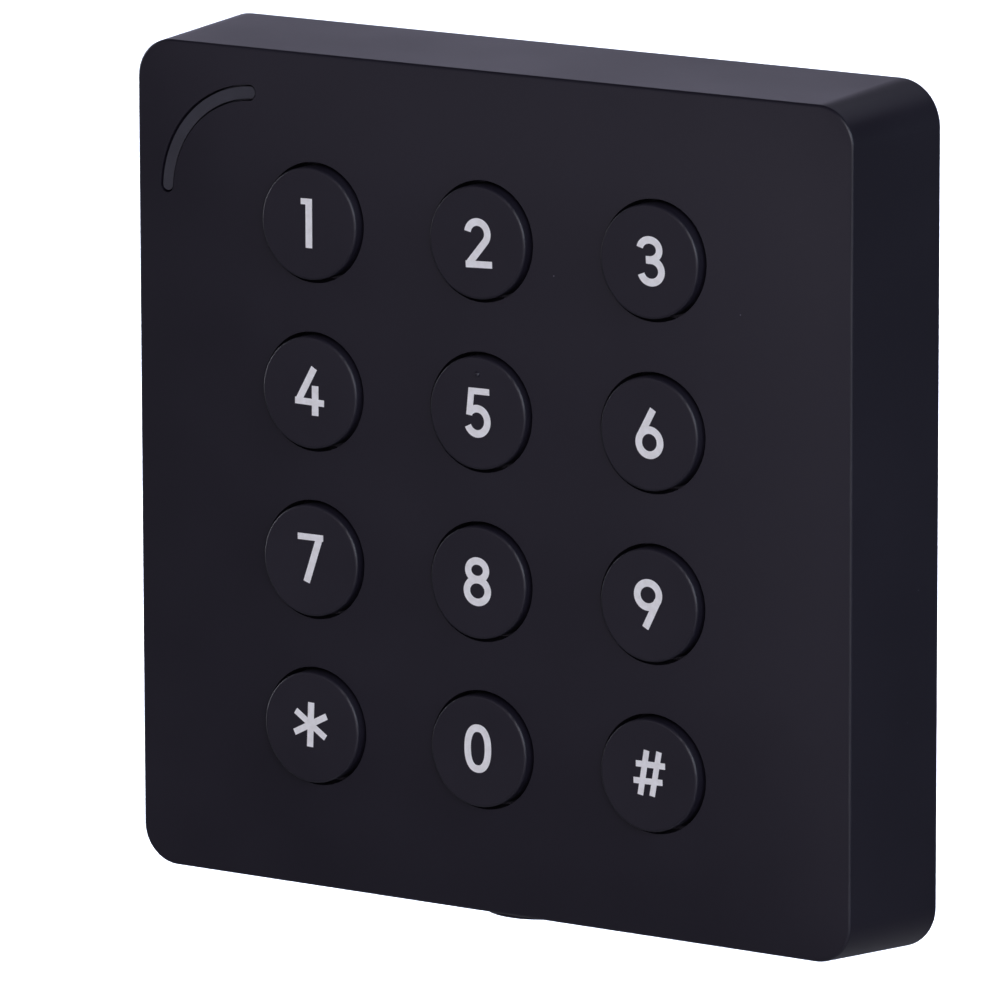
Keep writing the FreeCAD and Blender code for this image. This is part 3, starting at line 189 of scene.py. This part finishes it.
LEGENDS = {
    "key_1": [(0.78, [(0.04, 2.54), (0.04, -2.41)]), (0.6, [(-0.92, 2.22), (0.1, 2.24)])],
    "key_2": [
        (0.76, bow(0.075, 0.9, 1.175, 1.17, 172, -40) + [(-0.88, -2.06)]),
        (0.68, [(-1.3, -2.2), (1.8, -2.07)]),
    ],
    "key_3": [
        (0.74, bow(0.1, 1.2, 1.13, 0.98, 170, -90) + [(-0.3, 0.2)]),
        (0.76, [(-0.2, 0.2)] + bow(0.3, -0.9, 1.2, 1.1, 88, -163)),
    ],
    "key_4": [
        (0.76, [(0.585, 2.56), (-1.34, -0.85)]),
        (0.67, [(-1.74, -0.87), (1.75, -0.93)]),
        (0.78, [(0.69, 0.76), (0.68, -2.25)]),
    ],
    "key_5": [
        (0.64, [(-1.0, 2.2), (1.42, 2.23)]),
        (0.7, [(-0.67, 2.48), (-0.95, -0.24)]),
        (0.76, bow(0.0, -0.79, 1.2, 1.26, 143, -156)),
    ],
    "key_6": [
        (0.76, bow(0.11, -0.81, 1.24, 1.24, -180, 180, steps=72)),
        (0.76, [(0.53, 2.5), (-0.98, -0.24)]),
    ],
    "key_7": [(0.65, [(-1.52, 2.39), (1.55, 2.41)]), (0.78, [(1.13, 2.45), (-0.47, -2.19)])],
    "key_8": [
        (0.74, bow(-0.06, 1.27, 1.06, 0.93, -180, 180, steps=72)),
        (0.76, bow(-0.04, -0.81, 1.24, 1.14, -180, 180, steps=72)),
    ],
    "key_9": [
        (0.76, bow(-0.04, 1.05, 1.26, 1.2, -180, 180, steps=72)),
        (0.78, [(1.08, 0.56), (-0.35, -2.27)]),
    ],
    "key_star": [
        (0.74, [(0.0, 2.57), (-0.17, -1.97)]),
        (0.66, [(-1.9, 1.55), (1.72, -0.85)]),
        (0.66, [(-2.05, -0.67), (1.85, 1.35)]),
    ],
    "key_0": [(0.76, bow(-0.04, 0.285, 1.21, 2.065, -180, 180, steps=96, square=2.3))],
    "key_hash": [
        (0.65, [(-0.2, 2.52), (-0.93, -2.0)]),
        (0.63, [(1.25, 2.52), (0.45, -2.0)]),
        (0.62, [(-1.45, 1.1), (1.95, 1.14)]),
        (0.61, [(-1.72, -0.6), (1.65, -0.52)]),
    ],
}


CLOSED_GAP = 1e-6  # a stroke whose ends are nearer than this is a ring


def add_stroke(shape, width, points, front, back):
    """One stroke of ink as a flat bar along its points, with square ends. Its width and points are
    in millimetres; its front and back, and the mesh it is added to, are in metres."""
    closed = math.dist(points[0], points[-1]) < CLOSED_GAP
    if closed:
        points = points[:-1]
    count = len(points)
    rings = []
    for i, (x, z) in enumerate(points):
        before = points[i - 1] if closed or i > 0 else points[0]
        after = points[(i + 1) % count] if closed or i < count - 1 else points[-1]
        along = Vector((after[0] - before[0], after[1] - before[1])).normalized()
        side = Vector((-along.y, along.x)) * width / 2
        left, right = (x + side.x, z + side.y), (x - side.x, z - side.y)
        rings.append(
            [shape.verts.new((p[0] / 1000, y, p[1] / 1000)) for y in (front, back) for p in (left, right)]
        )
    for i in range(count if closed else count - 1):
        a, b = rings[i], rings[(i + 1) % count]
        for j, k in ((0, 1), (1, 3), (3, 2), (2, 0)):
            shape.faces.new((a[j], a[k], b[k], b[j]))
    if not closed:
        for ring in (rings[0], rings[-1]):
            shape.faces.new((ring[0], ring[1], ring[3], ring[2]))


NIB_HEIGHT = 0.00025  # the nib on the 5 stands that far ahead of the key's top
FLANGE_REACH = 0.007  # a key's lowest and highest points are its flange's, that far from its centre
INK_THICKNESS = 0.000022
INK_STEP = 0.000002  # each stroke lies that far ahead of the one before, so that no two share a plane


def print_legend(key, strokes, ink):
    """The character on a key, as one piece that moves with it."""
    low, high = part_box(key)
    top = low[1] + (NIB_HEIGHT if key == "key_5" else 0)
    shape = bmesh.new()
    for layer, (width, points) in enumerate(strokes):
        add_stroke(shape, width, points, -INK_THICKNESS - INK_STEP * layer, 0.0)
    bmesh.ops.recalc_face_normals(shape, faces=shape.faces)
    mesh = bpy.data.meshes.new(f"{key}_legend")
    shape.to_mesh(mesh)
    shape.free()
    mesh.transform(Matrix.Translation(((low[0] + high[0]) / 2, top, high[2] - FLANGE_REACH)))
    mesh.materials.append(ink)
    made = bpy.data.objects.new(f"{key}_legend", mesh)
    bpy.context.collection.objects.link(made)
    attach(made, f"{key}_button")


# Pad-printing ink: two-component white, matte, with a slightly uneven cover over the texture.
white_ink = finish("White printing ink", "#f4f3f1", "#ffffff", 0.6, 0.15, 0.003, Roughness=0.5)
for key, strokes in LEGENDS.items():
    print_legend(key, strokes, white_ink)

# --- Keypad mat and contacts ----------------------------------------------------------------------
# One sheet of grey silicone rubber, moulded with a dome under each key, which springs the key back.
# A black carbon pill is moulded into each dome and closes the gold pads on the board.

# Silicone: soft, dull, and a little translucent at thin edges.
silicone = finish(
    "Grey silicone rubber", "#8f9195", "#a1a3a7", 6, 0.3, 0.004, Roughness=0.6, Subsurface_Weight=0.15
)
MAT_WEB = 0.0006  # thickness of the sheet between the domes
DOME_FOOT = 0.00485  # a dome's radius where it meets the sheet, with a little to spare
SHEET_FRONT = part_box("keypad_mat")[1][1] - MAT_WEB
PLANE_SLACK = 1e-6  # a corner this far off a plane still counts as on it


def over_dome(corners, axis):
    """Whether these corners all lie on the dome round this key axis, in front of the sheet."""
    return all(
        c.y < SHEET_FRONT + PLANE_SLACK and math.hypot(c.x - axis.x, c.z - axis.z) < DOME_FOOT
        for c in corners
    )


def mat_piece(name, keep):
    """The faces of the keypad mat whose corners pass the test keep, as a piece on the reader."""
    shape = bmesh.new()
    shape.from_mesh(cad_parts["keypad_mat"].data)
    shape.transform(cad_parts["keypad_mat"].matrix_world)
    others = [face for face in shape.faces if not keep([corner.co for corner in face.verts])]
    bmesh.ops.delete(shape, geom=others, context="FACES")
    mesh = bpy.data.meshes.new(name)
    shape.to_mesh(mesh)
    shape.free()
    mesh.materials.clear()
    mesh.materials.append(silicone)
    made = bpy.data.objects.new(name, mesh)
    bpy.context.collection.objects.link(made)
    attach(made, "reader")
    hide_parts("keypad_mat")
    return made


# In the reader each dome gives way under its key, flattening by the key's stroke down to the sheet's front.
# Here each dome is cut from the mat as a piece with a mesh of its own, and the rest of the mat is the sheet.
key_axes = []
for key in KEYS:
    low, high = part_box(key)
    axis = Vector(((low[0] + high[0]) / 2, SHEET_FRONT, (low[2] + high[2]) / 2))
    key_axes.append(axis)
    dome = mat_piece(f"{key}_dome", lambda corners: over_dome(corners, axis))
    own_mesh(dome)
mat_piece("mat_sheet", lambda corners: not any(over_dome(corners, axis) for axis in key_axes))

# Carbon-filled silicone: dead black, with the grain of its filler.
carbon = finish("Carbon-filled silicone", "#151516", "#232324", 0.4, 0.1, 0.002, Roughness=0.7)
for key in KEYS:
    coat(f"{key}_contact", carbon)

# --- Circuit board and its parts ------------------------------------------------------------------
# Glass-fibre board with gold contact pads in front and, behind, the chips, the antenna's winding,
# the buzzer, the wiring header and the tamper switch, all soldered on before it is screwed in.

# Solder mask over woven glass: glossy green, with the weave showing through as a faint grid.
solder_mask = finish("Green solder mask", "#0e4a2b", "#14603a", 4, 0.5, 0.003, Roughness=0.3)
coat("main_board", solder_mask)

# Gold over nickel on copper: warm and bright, with the grain of the plating.
gold = finish("Gold plating", "#c79f4a", "#d9b25c", 0.6, 0.1, 0.001, Metallic=1.0, Roughness=0.28)
coat("contact_pads", gold)
coat("header_pins", gold)

# Moulded epoxy: black with silica filler, so it looks like fine slate.
chip_epoxy = finish("Black moulding epoxy", "#1c1c1d", "#262628", 0.2, 0.06, 0.003, Roughness=0.55)
coat("microcontroller", chip_epoxy)
coat("reader_chip", chip_epoxy)

# The crystal's pressed can is nickel plated and faintly brushed from handling.
can = finish("Nickel-plated can", "#b9b9b6", "#d0d0cd", 0.5, 0.08, 0.001, Metallic=1.0, Roughness=0.3)
coat("crystal", can)

# Fired ceramic of capacitors: brown, close-grained and half matte.
ceramic = finish("Brown fired ceramic", "#8a6a4b", "#a2825f", 0.7, 0.1, 0.002, Roughness=0.45)
coat("board_passives", ceramic)

# Enamelled copper: varnish over the wire keeps it bright, and its turns show as fine grooves.
winding = finish(
    "Enamelled copper wire",
    "#8f4a24", "#c9764a", 0.7, 0.25, 0.02, turn=(1, 0.05, 1), Metallic=1.0, Roughness=0.32,
)
coat("antenna_coil", winding)

# Glass-filled nylon: black, with fibres that make the surface slightly uneven.
part_nylon = finish("Black glass-filled nylon", "#19191a", "#222224", 0.5, 0.15, 0.003, Roughness=0.5)
coat("buzzer", part_nylon)
coat("tamper_switch", part_nylon)

# Natural nylon: creamy white, waxy and slightly translucent.
natural_nylon = finish(
    "Natural nylon", "#d9d4c6", "#e6e2d6", 2, 0.2, 0.002, Roughness=0.45, Subsurface_Weight=0.1
)
coat("wiring_header", natural_nylon)

# Coloured nylon, red so that the installer finds the plunger.
red_nylon = finish("Red nylon", "#a5261d", "#b8352a", 0.5, 0.2, 0.002, Roughness=0.4)
coat("tamper_plunger", red_nylon)

# Clear epoxy over the yellow phosphor of a white lamp.
lamp_resin = finish(
    "Clear lamp resin", "#e8e3b8", "#f4f0cf", 0.4, 0.2, 0.001, Roughness=0.15, Transmission_Weight=0.4
)
coat("status_leds", lamp_resin)

# --- Rear cover and gasket ------------------------------------------------------------------------
# A flat ABS moulding that closes the back. It presses the silicone gasket in its groove against
# the front cover's rib.

# ABS from a ground mould: smoother than the front, with a soft satin gloss.
rear_abs = finish("Black satin ABS", "#18181a", "#1e1e20", 14, 0.3, 0.005, 0.03, Roughness=0.4)
coat("rear_cover", rear_abs)

# Harder silicone than the mat's, pale so that a missing gasket is noticed.
seal_silicone = finish("Light grey silicone", "#7d7f83", "#8b8d91", 3, 0.25, 0.003, Roughness=0.55)
coat("cover_gasket", seal_silicone)

# --- Screws ---------------------------------------------------------------------------------------
# Self-tapping screws hold the board and the rear cover, and a stainless machine screw, driven up
# through the bottom edge, locks the reader to its bracket.

# Bright zinc over steel: bluish white, with small marks from tumbling.
zinc = finish(
    "Zinc-plated screw steel", "#a9abae", "#c6c8ca", 0.5, 0.08, 0.002, 0.06, Metallic=1.0, Roughness=0.32
)
coat("cover_screws", zinc)
coat("board_screws", zinc)

# Stainless steel: unplated, a little darker and warmer than zinc, and smooth from cold heading.
stainless = finish(
    "Stainless steel", "#b4b4b5", "#cfcfd0", 0.5, 0.08, 0.001, 0.04, Metallic=1.0, Roughness=0.24
)
coat("lock_screw", stainless)

# --- Wall bracket ---------------------------------------------------------------------------------
# Pressed from 1.5 mm steel sheet and zinc plated. Two hooks at the top and a tab at the bottom hold
# the reader; slots and holes fit a wall box or plain wall plugs.

# Zinc-plated sheet: a clouded bluish grey with faint rolling lines across.
sheet = finish(
    "Zinc-plated steel sheet",
    "#a0a4ab", "#c3c5c6", 9, 0.25, 0.004, 0.06, turn=(0.03, 1, 1), Metallic=1.0, Roughness=0.36,
)
coat("wall_bracket", sheet)

# --- Studio ---------------------------------------------------------------------------------------
# A pale floor well below the reader, which hangs as it would on its wall; soft light from the
# front, both sides and behind; and a wash on the floor on either side of the reader.

FLOOR_Z = -0.45
MIDDLE = (0, 0, 0)


def light_panel(name, place, aim, width, height, watts, colour="#ffffff", spread=180):
    """A rectangular softbox at a place, turned to face a point, with a grid that limits its spread."""
    panel = bpy.data.lights.new(name, "AREA")
    panel.shape = "RECTANGLE"
    panel.size = width
    panel.size_y = height
    panel.energy = watts
    panel.color = linear(colour)[:3]
    panel.spread = math.radians(spread)
    lamp = bpy.data.objects.new(name, panel)
    lamp.location = place
    lamp.rotation_euler = (Vector(aim) - Vector(place)).to_track_quat("-Z", "Y").to_euler()
    bpy.context.collection.objects.link(lamp)


floor_shape = bmesh.new()
bmesh.ops.create_grid(floor_shape, x_segments=8, y_segments=8, size=8.0)
floor_mesh = bpy.data.meshes.new("floor")
floor_shape.to_mesh(floor_mesh)
floor_shape.free()
floor_mesh.transform(Matrix.Translation((0, 0, FLOOR_Z)))
floor = bpy.data.objects.new("floor", floor_mesh)
bpy.context.collection.objects.link(floor)
# Matte emulsion paint, so near to white that only a slight drift of tone shows.
floor_paint = finish(
    "Pale floor paint", "#efeff0", "#f3f3f3", 900, 2, 0.02, Roughness=0.9, Specular_IOR_Level=0.1
)
floor_mesh.materials.append(floor_paint)

studio = bpy.data.worlds.new("studio")
bpy.context.scene.world = studio
studio.use_nodes = True
sky = studio.node_tree.nodes["Background"]
sky.inputs["Color"].default_value = linear("#f4f7ff")
sky.inputs["Strength"].default_value = 0.024

# In front: a small light that the face mirrors at its top right, and two large soft ones.
light_panel("front_fill", (-0.42, -1.25, 0.03), MIDDLE, 0.22, 0.22, 0.05, "#f0e9ff", spread=32)
light_panel("front_left", (-0.9, -1.15, 1.05), MIDDLE, 1.4, 1.4, 0.15, "#efe8ff", spread=60)
light_panel("front_right", (1.1, -1.3, 0.6), MIDDLE, 1.0, 1.0, 2.7, "#f7f5ff", spread=60)
# At the right, with one low behind that the right side mirrors.
light_panel("right_fill", (1.3, -0.2, 0.5), MIDDLE, 0.7, 0.7, 0.6, "#dcecff", spread=40)
light_panel("rear_right", (0.85, 1.2, -0.05), MIDDLE, 0.6, 0.6, 0.022, "#dcecff", spread=60)
# Behind and above, mirrored in the top and its rounded corner.
light_panel("rear_rim", (-0.9, 1.3, 0.4), MIDDLE, 1.0, 0.5, 1.95, "#e6e2ff")
light_panel("rear_high", (0.1, 1.2, 0.9), MIDDLE, 1.0, 0.5, 0.95, "#e6e6ff")
# For the sides turned away from the camera.
light_panel("left_fill", (-1.3, 0.1, 0.1), MIDDLE, 0.6, 0.6, 0.5, "#f0f2ff", spread=40)
light_panel("back_fill", (-0.4, 1.3, -0.3), MIDDLE, 0.6, 0.6, 0.8, "#f0f2ff", spread=60)
# Straight down on the floor, which whitens it.
light_panel("front_wash", (1.4, -1.6, 0.15), (1.4, -1.6, FLOOR_Z), 1.4, 1.8, 14, "#f0f2ff", spread=90)
light_panel("background_wash", (-1.4, 2.05, 0.15), (-1.4, 2.05, FLOOR_Z), 1.4, 1.8, 27, "#e2eaff", spread=90)

# A long lens from the right and a little above; its axes are unit vectors in the row frame.
camera_data = bpy.data.cameras.new("camera")
camera_data.lens = 390.13
camera_data.sensor_width = 36.0
camera_data.shift_x = -0.00057
camera_data.shift_y = 0.00051
camera_data.clip_end = 50.0
camera = bpy.data.objects.new("camera", camera_data)
right = Vector((0.829502, 0.558498, -0.002257))
up = Vector((-0.105654, 0.160888, 0.981301))
back = Vector((0.548418, -0.813753, 0.192465))
turn = Matrix((right, up, back)).transposed().to_4x4()
camera.matrix_world = Matrix.Translation((0.586655, -0.883073, 0.204995)) @ turn
bpy.context.collection.objects.link(camera)
bpy.context.scene.camera = camera
bpy.context.scene.view_settings.view_transform = "Standard"
